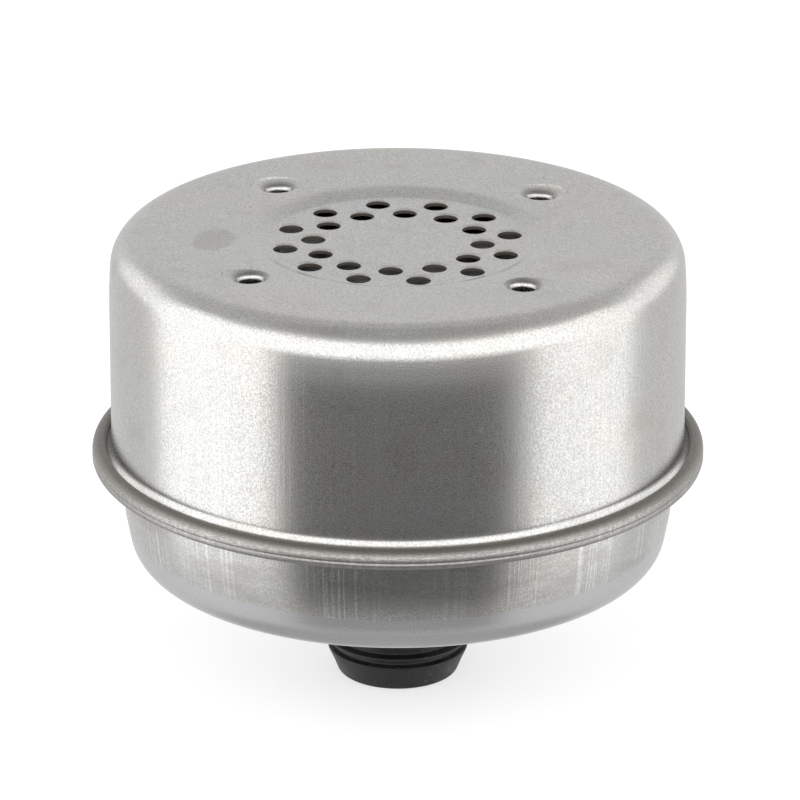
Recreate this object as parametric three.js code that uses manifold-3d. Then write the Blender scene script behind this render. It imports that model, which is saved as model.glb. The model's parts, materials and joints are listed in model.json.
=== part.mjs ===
// Air filter housing for a small engine: a drawn steel can, crimped shut over a pleated paper
// element, that plugs into the engine's intake port with a ribbed rubber neck.
// Millimetres, +Z up. The origin is the centre of the neck's end face, so the part stands on z = 0.

import * as THREE from "three";
import { mergeVertices } from "three/addons/utils/BufferGeometryUtils.js";
import Module from "manifold-3d";

const wasm = await Module();
wasm.setup();

// ---------- Driving dimensions ----------

// Clearances and facets
const GAP = 0.15; // between pieces that rest on, or fit in, each other
const CAN_FACETS = 44; // sides of a round piece of the can
const ELEMENT_FACETS = 32; // sides of a round piece of the filter element
const OUTLET_FACETS = 24; // sides of a round piece of the outlet and neck
const HOLE_FACETS = 10; // sides of a small hole
const SPRING_FACETS = 6; // sides of the spring's wire
const SPRING_STEPS = 16; // straight stretches in one turn of the spring
const CHORD_ERROR = 0.15; // most that a flat side of a rounded bend cuts into it

// Sheet-metal can
const SHEET = 0.9; // drawn steel sheet of the shell and pan
const CAN_RADIUS = 57.15; // outside of the upper shell's wall
const WALL_HEIGHT = 44; // seam face to the crown
const TOP_CORNER = 6.4; // radius of the corner between top and wall
const TOP_SAG = 0.7; // how far the top sinks from its edge to the dish
const DISH_RIM_RADIUS = 29.3; // where the top turns down into the perforated dish
const DISH_SLOPE = 3.3; // width of the dish's sloped side
const DISH_DEPTH = 1.3;
const PAN_DEPTH = 24.3; // seam face to the pan's underside
const PAN_STEP = 1.35; // the pan's wall stands this far inside the shell's
const PAN_TAPER = 1.75; // radius that the pan's wall loses going down
const PAN_CORNER = 7;
const SEAT_CLEARANCE = 1; // neck's collar to the flat ring that rests on the port's boss

// Intake perforations: two rings of round holes, half a pitch apart
const HOLE_RADIUS = 2.38;
const HOLES_PER_RING = 12;
const RING_EDGE = 3.45; // dish floor's edge to the centres of the outer ring
const RING_STEP = 5.75; // between the two rings

// Plunged holes: drawn down through the deflector's feet and flared to hold them
const PLUNGE_EDGE = 8.2; // dish rim to the holes' centres
const PLUNGE_COUNT = 4;
const PLUNGE_FIRST_ANGLE = 45;
const THROAT_RADIUS = 2.2;
const PLUNGE_BEND = 1.7; // radius of the rolled mouth
const PLUNGE_SINK = 0.02; // how far the mouth's edge lies inside the sheet that it joins
const PLUNGE_OVERLAP = 0.3; // width of the mouth's edge that joins the sheet
const FLARE_LENGTH = 1.7; // length of the flared end, which turns out under the foot
const FLARE_ANGLE = 28; // degrees below level

// Rolled seam
const SEAM_BEND = 1.6; // bend from each wall to its flange
const FLANGE_WIDTH = 0.65; // flat part of the shell's flange
const SEAL_HEIGHT = 0.5;
const CURL_CLEARANCE = 0.9; // between the shell's flange edge and the curl around it
const CURL_LOWER_BEND = 0.3; // inside radius
const CURL_UPPER_BEND = 0.8; // inside radius
const CURL_LIP = 0.6; // straight end of the curl, which lies level over the flange
const CURL_GAP = 0.2; // between that end and the flange under it

// Intake deflector
const DEFLECTOR_SHEET = 0.8;
const DEFLECTOR_SETBACK = 6.5; // plate's edge to the plunged holes' centres
const DEFLECTOR_DROP = 9.5; // feet down to the plate
const DEFLECTOR_RIM = 2.2; // height of the plate's turned-up rim
const DEFLECTOR_BEND = 1.2;
const LEG_WIDTH = 11;
const FOOT_END = 5.5; // plunged hole's centre to the foot's end
const LEG_LEAN = 2.5; // how far a leg leans out on its way up

// Hold-down spring
const SPRING_HEIGHT = 8.6; // installed height
const SPRING_WIRE = 1.8;
const SPRING_TURNS = 2.5;
const SPRING_LOWER_RADIUS = 26;
const SPRING_UPPER_RADIUS = 21;

// Filter element
const AIR_GAP = 6.6; // round the element, inside the pan
const FOAM_THICKNESS = 5;
const CAP_SHEET = 0.6;
const CAP_RIM = 5;
const CAP_INNER_RIM = 3.2;
const CAP_BOSS = 1.2; // height of the top cap's raised centre, which locates the spring
const CAP_BOSS_CLEARANCE = 1.2; // boss to the spring's lowest turn
const POTTING_HEIGHT = 2.4;
const GUARD_SHEET = 0.6;
const CLIP_REACH = 0.7; // room between the pleats and the guard screen for the seam clip
const GUARD_WINDOW = 9; // side of a square window that stands on its corner
const GUARD_PITCH = 15.5; // least height and width that one window takes up
const PLEAT_PITCH = 3.4; // round the inner folds
const PLEAT_TIP = 1.3; // width of a fold's flat tip
const PAPER = 0.5;
const CLIP_DEPTH = 5; // how far the seam clip reaches down the fold
const CLIP_SPLAY = 0.6; // how far each side of the clip opens with the fold
const CORE_SHEET = 0.6;
const CORE_SLOT_WIDTH = 7;
const CORE_SLOT_HEIGHT = 9;
const CORE_PITCH = 13;
const GASKET_HEIGHT = 4;
const GASKET_WIDTH = 7;
const GASKET_CLEARANCE = 3; // to the backing washer inside it
const GASKET_OVERHANG = 0.8; // how far the gasket reaches inside the bottom cap's hole

// Outlet tube and its fastening to the pan
const TUBE_RADIUS = 9.3; // outside
const TUBE_WALL = 0.9;
const TUBE_BEND = 1.2;
const TUBE_FLANGE = 5.7; // flange radius over the tube's
const WASHER_OVERLAP = 2; // backing washer beyond the tube's flange
const WASHER_HEIGHT = 1.2;
const TUBE_SEAL_HEIGHT = 0.8;
const LOCK_RING_WIDTH = 3.2;
const LOCK_RING_HEIGHT = 1.3;

// Rubber neck: radii are outside the tube's
const NECK_LENGTH = 25.5; // pan's underside to the neck's end face
const NECK_END_LIP = 1.4; // rubber that covers the tube's end
const NECK_TIP = 2.3;
const NECK_TIP_ROUND = 0.9;
const NECK_NOSE = 4.9; // radius of the nose at its lip
const NECK_NOSE_HEIGHT = 5.6;
const NECK_LIP = 0.4; // straight height below the nose's lip
const NECK_RIB = 5.2;
const NECK_RIB_HEIGHT = 1;
const NECK_GROOVE = 3.8;
const NECK_RIB_STEP = 1.6; // nose lip to the rib
const NECK_SEAT = 2.1; // length of the groove above the rib, which the port's edge snaps into
const NECK_SHOULDER = 0.6; // height of the slope from that groove out to the body
const NECK_BODY = 4.6;
const NECK_COLLAR = 7.2;
const NECK_COLLAR_HEIGHT = 4.5;
const NECK_COLLAR_SLOPE = 2.6;

// ---------- Sizes and heights worked out from them ----------

const panBottom = NECK_LENGTH;
const panFloor = panBottom + SHEET;
const seam = panBottom + PAN_DEPTH; // upper face of the shell's flange
const crown = seam + WALL_HEIGHT;
const topEdgeRadius = CAN_RADIUS - TOP_CORNER;
const sagSlope = TOP_SAG / (topEdgeRadius - DISH_RIM_RADIUS);
const dishFloor = crown - TOP_SAG - DISH_DEPTH;
const dishFloorRadius = DISH_RIM_RADIUS - DISH_SLOPE;
const outerRingRadius = dishFloorRadius - RING_EDGE;
const innerRingRadius = outerRingRadius - RING_STEP;

const panRadius = CAN_RADIUS - PAN_STEP;
const panLowRadius = panRadius - PAN_TAPER;
const seatInnerRadius = TUBE_RADIUS + NECK_COLLAR + SEAT_CLEARANCE;
const flangeRadius = CAN_RADIUS + SEAM_BEND + FLANGE_WIDTH;
const beadRadius = flangeRadius + CURL_CLEARANCE + SHEET;
const panFlange = seam - SHEET - SEAL_HEIGHT - 2 * GAP; // upper face of the pan's flange

const plungeCircle = DISH_RIM_RADIUS + PLUNGE_EDGE;
const plungeTop = crown - sagSlope * (topEdgeRadius - plungeCircle);
const footTop = crown - TOP_SAG - SHEET - 2 * GAP;
const footBottom = footTop - DEFLECTOR_SHEET;
const deflectorBottom = footBottom - DEFLECTOR_DROP;
const deflectorRadius = plungeCircle - DEFLECTOR_SETBACK;

const washerRadius = TUBE_RADIUS + TUBE_FLANGE + WASHER_OVERLAP;
const washerBottom = panFloor + TUBE_SEAL_HEIGHT + 2 * GAP;
const tubeFlange = washerBottom + WASHER_HEIGHT + GAP; // underside of the tube's flange

const foamRadius = panLowRadius - SHEET - AIR_GAP;
const capRadius = foamRadius - FOAM_THICKNESS - GAP;
const guardRadius = capRadius - CAP_SHEET - GAP;
const mediaRadius = guardRadius - GUARD_SHEET - CLIP_REACH - GAP;
const gasketRadius = washerRadius + GASKET_CLEARANCE; // inside of the seat gasket
const capHoleRadius = gasketRadius + GASKET_OVERHANG;
const coreRadius = capHoleRadius + CORE_SHEET + GAP;
const pleatRootRadius = coreRadius + GAP;

const elementBottom = panFloor + GASKET_HEIGHT + 2 * GAP; // underside of the bottom cap
const elementTop = deflectorBottom - SPRING_HEIGHT; // upper face of the top cap
const mediaBottom = elementBottom + CAP_SHEET + POTTING_HEIGHT + 2 * GAP;
const mediaTop = elementTop - CAP_SHEET - POTTING_HEIGHT - 2 * GAP;

// ---------- Profiles in the (radius, height) plane ----------

const radians = THREE.MathUtils.degToRad;
const degrees = THREE.MathUtils.radToDeg;
const point = (r, z) => new THREE.Vector2(r, z);
const polar = (radius, angle) =>
  point(radius * Math.cos(radians(angle)), radius * Math.sin(radians(angle)));

// Points of an arc round (r, z), from one angle to another in degrees, both ends included.
function arc(r, z, radius, from, to) {
  const longestStep = 2 * degrees(Math.acos(1 - CHORD_ERROR / radius));
  const steps = Math.ceil(Math.abs(to - from) / longestStep);
  return Array.from({ length: steps + 1 }, (_, i) =>
    polar(radius, from + ((to - from) * i) / steps).add(point(r, z)),
  );
}

// One line through points and arcs, with repeated points dropped.
function path(...stretches) {
  const points = stretches.flat();
  return points.filter((p, i) => i === 0 || p.distanceTo(points[i - 1]) > 1e-4);
}

// The line moved sideways by a distance: left of its direction where that is positive.
function offset(line, distance) {
  const normals = line.slice(1).map((p, i) => {
    const d = p.clone().sub(line[i]).normalize();
    return point(-d.y, d.x);
  });
  return line.map((p, i) => {
    const a = normals[Math.max(i - 1, 0)];
    const b = normals[Math.min(i, normals.length - 1)];
    return p.clone().addScaledVector(a.clone().add(b), distance / (1 + a.dot(b)));
  });
}

// Outline of a sheet bent along a line. Its thickness lies left of the line, or right if negative.
function bentSheet(line, thickness) {
  return [...line, ...offset(line, thickness).reverse()];
}

function rectangle(innerRadius, outerRadius, bottom, top) {
  return [
    point(innerRadius, bottom),
    point(outerRadius, bottom),
    point(outerRadius, top),
    point(innerRadius, top),
  ];
}

// ---------- Geometry ----------

// Turns an outline round the Z axis. An outline that doesn't touch the axis is closed into a ring.
function revolve(outline, facets) {
  const profile = THREE.ShapeUtils.area(outline) < 0 ? [...outline].reverse() : [...outline];
  const touchesAxis = outline[0].x < 1e-6;
  if (!touchesAxis) profile.push(profile[0].clone());
  return new THREE.LatheGeometry(profile, facets).rotateX(Math.PI / 2);
}

// An upright bar of the outline, with its cross-section in the XY plane.
function extrude(shape, bottom, top) {
  const settings = { depth: top - bottom, bevelEnabled: false, curveSegments: 1 };
  return new THREE.ExtrudeGeometry(shape, settings).translate(0, 0, bottom);
}

// A cylinder along Z between two heights.
function peg(radius, bottom, top) {
  return new THREE.CylinderGeometry(radius, radius, top - bottom, HOLE_FACETS)
    .rotateX(Math.PI / 2)
    .translate(0, 0, (top + bottom) / 2);
}

// A geometry as a manifold solid, for joining and cutting.
function solid(geometry) {
  const bare = geometry.index ? geometry.toNonIndexed() : geometry.clone();
  bare.deleteAttribute("normal");
  bare.deleteAttribute("uv");
  const merged = mergeVertices(bare, 1e-3);
  return new wasm.Manifold(
    new wasm.Mesh({
      numProp: 3,
      vertProperties: merged.attributes.position.array,
      triVerts: new Uint32Array(merged.index.array),
    }),
  );
}

// A manifold solid as a geometry.
function geometryOf(made) {
  const mesh = made.getMesh();
  const geometry = new THREE.BufferGeometry()
    .setAttribute("position", new THREE.BufferAttribute(mesh.vertProperties, 3))
    .setIndex(new THREE.BufferAttribute(mesh.triVerts, 1));
  geometry.computeVertexNormals();
  return geometry;
}

// The angles of evenly spaced copies round the axis, in degrees.
const around = (count, first = 0) =>
  Array.from({ length: count }, (_, i) => first + (360 * i) / count);

// A copy of a geometry turned round the Z axis.
const turned = (geometry, angle) => geometry.clone().rotateZ(radians(angle));

// ---------- The can ----------

// Rolled mouth, throat and flared end of one plunged hole, at the first hole's place.
function plunge() {
  const mouthRadius = THROAT_RADIUS + PLUNGE_BEND;
  const flareTop = -(2 * SHEET + DEFLECTOR_SHEET + 2 * GAP);
  const line = path(
    arc(mouthRadius, -PLUNGE_BEND - PLUNGE_SINK, PLUNGE_BEND, 90, 180),
    point(THROAT_RADIUS, flareTop),
    point(THROAT_RADIUS, flareTop).add(polar(FLARE_LENGTH, -FLARE_ANGLE)),
  );
  return revolve(bentSheet(line, SHEET - 2 * PLUNGE_SINK), HOLE_FACETS)
    .rotateY(-Math.atan(sagSlope))
    .translate(plungeCircle, 0, plungeTop);
}

function upperShell() {
  const line = path(
    point(0, dishFloor),
    point(dishFloorRadius, dishFloor),
    point(DISH_RIM_RADIUS, crown - TOP_SAG),
    arc(topEdgeRadius, crown - TOP_CORNER, TOP_CORNER, 90, 0),
    arc(CAN_RADIUS + SEAM_BEND, seam + SEAM_BEND, SEAM_BEND, 180, 270),
    point(flangeRadius, seam),
  );
  let shell = solid(revolve(bentSheet(line, -SHEET), CAN_FACETS));

  const mouthCut = peg(THROAT_RADIUS + PLUNGE_BEND - PLUNGE_OVERLAP, dishFloor - SHEET, crown + SHEET);
  mouthCut.translate(plungeCircle, 0, 0);
  const plunged = plunge();
  for (const angle of around(PLUNGE_COUNT, PLUNGE_FIRST_ANGLE)) {
    shell = shell.subtract(solid(turned(mouthCut, angle))).add(solid(turned(plunged, angle)));
  }

  const pitch = 360 / HOLES_PER_RING;
  const rings = [
    [outerRingRadius, PLUNGE_FIRST_ANGLE],
    [innerRingRadius, PLUNGE_FIRST_ANGLE + pitch / 2],
  ];
  for (const [radius, first] of rings) {
    const hole = peg(HOLE_RADIUS, dishFloor - 2 * SHEET, dishFloor + SHEET).translate(radius, 0, 0);
    for (const angle of around(HOLES_PER_RING, first)) {
      shell = shell.subtract(solid(turned(hole, angle)));
    }
  }
  return geometryOf(shell);
}

function lowerPan() {
  const underFlange = panFlange - SHEET;
  const lowerBend = SHEET + CURL_LOWER_BEND;
  const upperBend = SHEET + CURL_UPPER_BEND;
  const upperBendHeight = seam + CURL_GAP - CURL_UPPER_BEND;
  const curlTop = arc(beadRadius - upperBend, upperBendHeight, upperBend, 0, 90);
  const lipEnd = polar(CURL_LIP, 180).add(curlTop.at(-1));
  const line = path(
    point(TUBE_RADIUS + GAP, panBottom),
    point(seatInnerRadius, panBottom),
    arc(panLowRadius - PAN_CORNER, panBottom + PAN_CORNER, PAN_CORNER, 270, 360),
    arc(panRadius + SEAM_BEND, underFlange - SEAM_BEND, SEAM_BEND, 180, 90),
    arc(beadRadius - lowerBend, underFlange + lowerBend, lowerBend, 270, 360),
    curlTop,
    lipEnd,
  );
  return revolve(bentSheet(line, SHEET), CAN_FACETS);
}

function seamSeal() {
  const bottom = panFlange + GAP;
  const outer = beadRadius - SHEET - CURL_LOWER_BEND - GAP;
  return revolve(
    rectangle(CAN_RADIUS + SEAM_BEND / 2, outer, bottom, bottom + SEAL_HEIGHT),
    CAN_FACETS,
  );
}

// ---------- Intake deflector and spring ----------

// One leg with its foot, seen from the side and extruded across its width.
function deflectorLeg() {
  const root = deflectorBottom + DEFLECTOR_SHEET / 2;
  const line = path(
    point(deflectorRadius - 2 * DEFLECTOR_SHEET, root),
    point(deflectorRadius, root),
    point(deflectorRadius + LEG_LEAN, footBottom),
    point(plungeCircle + FOOT_END, footBottom),
  );
  const shape = new THREE.Shape(bentSheet(line, DEFLECTOR_SHEET));
  return extrude(shape, -LEG_WIDTH / 2, LEG_WIDTH / 2).rotateX(Math.PI / 2);
}

function intakeDeflector() {
  const bend = DEFLECTOR_BEND;
  const line = path(
    point(0, deflectorBottom),
    arc(deflectorRadius - bend, deflectorBottom + bend, bend, 270, 360),
    point(deflectorRadius, deflectorBottom + DEFLECTOR_RIM),
  );
  let plate = solid(revolve(bentSheet(line, DEFLECTOR_SHEET), ELEMENT_FACETS));

  const leg = deflectorLeg();
  const footHole = peg(THROAT_RADIUS + SHEET + 3 * GAP, footBottom - SHEET, crown);
  footHole.translate(plungeCircle, 0, 0);
  for (const angle of around(PLUNGE_COUNT, PLUNGE_FIRST_ANGLE)) {
    plate = plate.add(solid(turned(leg, angle))).subtract(solid(turned(footHole, angle)));
  }
  return geometryOf(plate);
}

// Centre line of the conical hold-down spring, with its wire clear of the pieces it presses on.
class SpringLine extends THREE.Curve {
  getPoint(t, target = new THREE.Vector3()) {
    const rise = SPRING_HEIGHT - SPRING_WIRE - 2 * GAP;
    const angle = 2 * Math.PI * SPRING_TURNS * t;
    const radius = SPRING_LOWER_RADIUS + (SPRING_UPPER_RADIUS - SPRING_LOWER_RADIUS) * t;
    const height = elementTop + SPRING_WIRE / 2 + GAP + rise * t;
    return target.set(radius * Math.cos(angle), radius * Math.sin(angle), height);
  }
}

function holdDownSpring() {
  const wire = new THREE.Shape(around(SPRING_FACETS).map((a) => polar(SPRING_WIRE / 2, a)));
  const steps = Math.round(SPRING_TURNS * SPRING_STEPS);
  return new THREE.ExtrudeGeometry(wire, { steps, extrudePath: new SpringLine() });
}

// ---------- Filter element ----------

function elementTopCap() {
  const bossRadius = SPRING_UPPER_RADIUS - SPRING_WIRE / 2 - CAP_BOSS_CLEARANCE;
  const line = path(
    point(0, elementTop + CAP_BOSS),
    point(bossRadius - CAP_BOSS, elementTop + CAP_BOSS),
    point(bossRadius, elementTop),
    point(capRadius, elementTop),
    point(capRadius, elementTop - CAP_RIM),
  );
  return revolve(bentSheet(line, -CAP_SHEET), ELEMENT_FACETS);
}

function elementBottomCap() {
  const line = path(
    point(capHoleRadius, elementBottom + CAP_INNER_RIM),
    point(capHoleRadius, elementBottom),
    point(capRadius, elementBottom),
    point(capRadius, elementBottom + CAP_RIM),
  );
  return revolve(bentSheet(line, CAP_SHEET), ELEMENT_FACETS);
}

// Potting that glues the pleats into a cap, from the cap's inner rim to its outer one.
function potting(bottom) {
  const inner = capHoleRadius + CAP_SHEET + GAP;
  const outer = capRadius - CAP_SHEET - GAP;
  return revolve(rectangle(inner, outer, bottom, bottom + POTTING_HEIGHT), ELEMENT_FACETS);
}

// Outline of the pleats' outer face: each fold has a flat tip outside and inside.
function pleatOutline() {
  const root = pleatRootRadius + PAPER;
  const count = Math.floor((2 * Math.PI * root) / PLEAT_PITCH);
  const tipAngle = degrees(PLEAT_TIP / 2 / mediaRadius);
  const rootAngle = degrees(PLEAT_TIP / 2 / root);
  const halfPitch = 180 / count;
  return around(count).flatMap((middle) => [
    polar(mediaRadius, middle - tipAngle),
    polar(mediaRadius, middle + tipAngle),
    polar(root, middle + halfPitch - rootAngle),
    polar(root, middle + halfPitch + rootAngle),
  ]);
}

function pleatedMedia() {
  const outline = pleatOutline();
  const closed = [outline.at(-1), ...outline, outline[0]];
  const shape = new THREE.Shape(outline);
  shape.holes.push(new THREE.Path(offset(closed, PAPER).slice(1, -1)));
  return extrude(shape, mediaBottom, mediaTop);
}

// Channel that clips the two ends of the pleated pack together, over the tip of one fold.
function mediaSeamClip() {
  const inner = PLEAT_TIP / 2 + 2 * GAP;
  const wall = CLIP_REACH - 2 * GAP;
  const outer = inner + wall;
  const back = mediaRadius + GAP;
  const front = back - CLIP_DEPTH;
  const shape = new THREE.Shape([
    point(back + wall, -outer),
    point(back + wall, outer),
    point(front, outer + CLIP_SPLAY),
    point(front, inner + CLIP_SPLAY),
    point(back, inner),
    point(back, -inner),
    point(front, -inner - CLIP_SPLAY),
    point(front, -outer - CLIP_SPLAY),
  ]);
  return extrude(shape, mediaBottom, mediaTop);
}

// A tube as long as the pleats, with staggered rows of windows. A bar through the axis cuts two.
function windowedTube(radius, sheet, pitch, bar) {
  const height = mediaTop - mediaBottom;
  const rows = Math.floor(height / pitch);
  const barsPerRow = Math.floor((Math.PI * radius) / pitch);
  let tube = solid(revolve(rectangle(radius - sheet, radius, mediaBottom, mediaTop), ELEMENT_FACETS));
  for (let row = 0; row < rows; row++) {
    const rowBar = bar.clone().translate(0, 0, mediaBottom + (height * (row + 0.5)) / rows);
    const stagger = (row % 2) * (90 / barsPerRow);
    for (const angle of around(2 * barsPerRow, stagger).slice(0, barsPerRow)) {
      tube = tube.subtract(solid(turned(rowBar, angle)));
    }
  }
  return geometryOf(tube);
}

function coreTube() {
  const slot = new THREE.BoxGeometry(3 * coreRadius, CORE_SLOT_WIDTH, CORE_SLOT_HEIGHT);
  return windowedTube(coreRadius, CORE_SHEET, CORE_PITCH, slot);
}

function guardScreen() {
  const diamond = new THREE.BoxGeometry(3 * guardRadius, GUARD_WINDOW, GUARD_WINDOW);
  return windowedTube(guardRadius, GUARD_SHEET, GUARD_PITCH, diamond.rotateX(Math.PI / 4));
}

function foamPrecleaner() {
  return revolve(
    rectangle(foamRadius - FOAM_THICKNESS, foamRadius, elementBottom + GAP, elementTop - GAP),
    ELEMENT_FACETS,
  );
}

function seatGasket() {
  const bottom = panFloor + GAP;
  return revolve(
    rectangle(gasketRadius, gasketRadius + GASKET_WIDTH, bottom, bottom + GASKET_HEIGHT),
    ELEMENT_FACETS,
  );
}

// ---------- Outlet ----------

function outletTube() {
  const line = path(
    point(TUBE_RADIUS, NECK_END_LIP + GAP),
    arc(TUBE_RADIUS + TUBE_BEND, tubeFlange - TUBE_BEND, TUBE_BEND, 180, 90),
    point(TUBE_RADIUS + TUBE_FLANGE, tubeFlange),
  );
  return revolve(bentSheet(line, TUBE_WALL), OUTLET_FACETS);
}

// The seal and the washer clear the bend under the tube's flange.
function outletRing(bottom, height) {
  const inner = TUBE_RADIUS + TUBE_BEND + GAP;
  return revolve(rectangle(inner, washerRadius, bottom, bottom + height), OUTLET_FACETS);
}

function lockRing() {
  const inner = TUBE_RADIUS + GAP;
  const top = panBottom - GAP;
  return revolve(
    rectangle(inner, inner + LOCK_RING_WIDTH, top - LOCK_RING_HEIGHT, top),
    OUTLET_FACETS,
  );
}

function neckGrommet() {
  const at = (width, z) => point(TUBE_RADIUS + width, z);
  const bore = GAP;
  const top = panBottom - GAP;
  const recess = 2 * GAP + LOCK_RING_WIDTH; // room for the lock ring
  const recessBottom = top - LOCK_RING_HEIGHT - GAP;

  // Tapered nose, rib, body and collar, with a groove on each side of the rib.
  const rib = NECK_NOSE_HEIGHT + NECK_RIB_STEP;
  const seat = rib + NECK_RIB_HEIGHT;
  const body = seat + NECK_SEAT;
  const outside = path(
    at(-TUBE_WALL, 0),
    arc(TUBE_RADIUS + NECK_TIP, NECK_TIP_ROUND, NECK_TIP_ROUND, 270, 360),
    at((NECK_TIP + NECK_TIP_ROUND + NECK_NOSE) / 2, NECK_NOSE_HEIGHT / 2),
    at(NECK_NOSE, NECK_NOSE_HEIGHT - NECK_LIP),
    at(NECK_NOSE, NECK_NOSE_HEIGHT),
    at(NECK_GROOVE, NECK_NOSE_HEIGHT + NECK_LIP),
    at(NECK_GROOVE, rib - NECK_RIB_HEIGHT / 2),
    at(NECK_RIB, rib),
    at(NECK_RIB, rib + NECK_RIB_HEIGHT / 2),
    at(NECK_GROOVE, seat),
    at(NECK_GROOVE, body - NECK_SHOULDER),
    at(NECK_BODY, body),
    at(NECK_BODY, top - NECK_COLLAR_HEIGHT - NECK_COLLAR_SLOPE),
    at(NECK_COLLAR, top - NECK_COLLAR_HEIGHT),
    at(NECK_COLLAR, top),
  );
  const inside = [
    at(recess, top),
    at(recess, recessBottom),
    at(bore, recessBottom),
    at(bore, NECK_END_LIP),
    at(-TUBE_WALL, NECK_END_LIP),
  ];
  return revolve([...outside, ...inside], OUTLET_FACETS);
}

// ---------- Assembly ----------

const material = (color, roughness, metalness) =>
  new THREE.MeshStandardMaterial({ color, roughness, metalness });

const drawnSteel = material(0xb9b9b6, 0.38, 1);
const platedSteel = material(0xa8a9a6, 0.4, 1);
const springSteel = material(0x77777a, 0.35, 1);
const blackRubber = material(0x1c1b1a, 0.6, 0);
const sealRubber = material(0x262625, 0.8, 0);
const pleatPaper = material(0xe3d19b, 0.9, 0);
const greyFoam = material(0x4a4b4c, 0.95, 0);
const plastisol = material(0x8a3b2c, 0.6, 0);

const pieces = [
  ["upper_shell", upperShell(), drawnSteel],
  ["lower_pan", lowerPan(), drawnSteel],
  ["seam_seal", seamSeal(), sealRubber],
  ["intake_deflector", intakeDeflector(), platedSteel],
  ["hold_down_spring", holdDownSpring(), springSteel],
  ["element_top_cap", elementTopCap(), platedSteel],
  ["element_bottom_cap", elementBottomCap(), platedSteel],
  ["top_potting", potting(mediaTop + GAP), plastisol],
  ["bottom_potting", potting(mediaBottom - GAP - POTTING_HEIGHT), plastisol],
  ["pleated_media", pleatedMedia(), pleatPaper],
  ["media_seam_clip", mediaSeamClip(), platedSteel],
  ["core_tube", coreTube(), platedSteel],
  ["guard_screen", guardScreen(), platedSteel],
  ["foam_precleaner", foamPrecleaner(), greyFoam],
  ["element_seat_gasket", seatGasket(), sealRubber],
  ["outlet_tube", outletTube(), platedSteel],
  ["tube_seal_ring", outletRing(panFloor + GAP, TUBE_SEAL_HEIGHT), sealRubber],
  ["tube_backing_washer", outletRing(washerBottom, WASHER_HEIGHT), platedSteel],
  ["tube_lock_ring", lockRing(), platedSteel],
  ["neck_grommet", neckGrommet(), blackRubber],
];

const housing = new THREE.Group();
for (const [name, geometry, finish] of pieces) {
  const mesh = new THREE.Mesh(geometry, finish);
  mesh.name = name;
  housing.add(mesh);
}

export default housing;
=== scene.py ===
import json
import math
from collections import namedtuple

import bmesh
import bpy
from mathutils import Matrix, Vector


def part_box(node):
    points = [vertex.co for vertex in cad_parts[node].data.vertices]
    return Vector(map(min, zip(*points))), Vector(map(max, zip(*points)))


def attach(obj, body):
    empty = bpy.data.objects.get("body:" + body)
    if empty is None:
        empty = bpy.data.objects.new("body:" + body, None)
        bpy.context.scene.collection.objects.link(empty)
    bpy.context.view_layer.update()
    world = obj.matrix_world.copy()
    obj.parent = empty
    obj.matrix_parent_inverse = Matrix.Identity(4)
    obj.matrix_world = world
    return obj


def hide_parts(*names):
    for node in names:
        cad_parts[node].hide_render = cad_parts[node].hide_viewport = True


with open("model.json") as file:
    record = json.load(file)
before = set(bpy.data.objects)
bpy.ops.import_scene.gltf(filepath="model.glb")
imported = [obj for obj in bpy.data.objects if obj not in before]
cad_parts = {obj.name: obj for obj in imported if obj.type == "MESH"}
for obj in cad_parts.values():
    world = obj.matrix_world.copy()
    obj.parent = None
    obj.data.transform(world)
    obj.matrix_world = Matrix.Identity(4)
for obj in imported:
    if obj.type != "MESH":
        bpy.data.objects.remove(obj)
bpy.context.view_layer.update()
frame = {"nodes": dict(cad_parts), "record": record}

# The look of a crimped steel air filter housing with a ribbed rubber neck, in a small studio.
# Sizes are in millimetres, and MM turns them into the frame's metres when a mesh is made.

MM = 0.001

# ---------- Sizes taken from the frame ----------


def top_of(node):
    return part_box(node)[1].z / MM


def bottom_of(node):
    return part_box(node)[0].z / MM


def radius_of(node):
    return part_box(node)[1].x / MM


CROWN = top_of("upper_shell")
CURL_TOP = top_of("lower_pan")
FLANGE_RADIUS = radius_of("upper_shell")
FLANGE_UNDERSIDE = bottom_of("upper_shell")
BEAD_RADIUS = radius_of("lower_pan")
PAN_BOTTOM = bottom_of("lower_pan")
NECK_TOP = top_of("neck_grommet")
NECK_BOTTOM = bottom_of("neck_grommet")
TUBE_TOP = top_of("outlet_tube")
TUBE_BOTTOM = bottom_of("outlet_tube")
TUBE_FLANGE_RADIUS = radius_of("outlet_tube")
FOAM_RADIUS = radius_of("foam_precleaner")
FOAM_BOTTOM = bottom_of("foam_precleaner")
FOAM_TOP = top_of("foam_precleaner")

# ---------- Sizes of the detail ----------

SHEET = 0.9
SEAM = FLANGE_UNDERSIDE + SHEET  # upper face of the shell's flange

# Upper shell
WALL_RADIUS = 57.25
WALL_FLARE = 0.1  # how much wider the wall is at the seam
WALL_LEAN = math.tan(math.radians(4))  # the wall leans in where it meets the top corner
WALL_LEAN_HEIGHT = 10.5  # crown to the middle of the long bend into the lean
WALL_LEAN_BEND = 90
TOP_CORNER = 6.4
TOP_EDGE_RADIUS = 50.75
TOP_SAG = 0.7  # how far the top sinks from its edge to the dish
DISH_RIM_RADIUS = 29.3
DISH_FLOOR_RADIUS = 26
DISH_DEPTH = 1.3
DISH_RIM_ROUNDING = 8
DISH_FLOOR_ROUNDING = 3
SEAM_BEND = 2
SHELL_STRETCH = 2  # longest straight stretch of the shell's outline
DISH_FLOOR = CROWN - TOP_SAG - DISH_DEPTH

# Punched holes in the dish
HOLE_RADIUS = 2.38
HOLE_ROUNDING = 0.25
ROLL_WIDTH = 0.7  # the sheet rolls down a little round each punched hole
ROLL_DEPTH = 0.14
HOLES_PER_RING = 12
OUTER_RING_RADIUS = 22.55
INNER_RING_RADIUS = 16.8
FIRST_HOLE_ANGLE = 45

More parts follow.
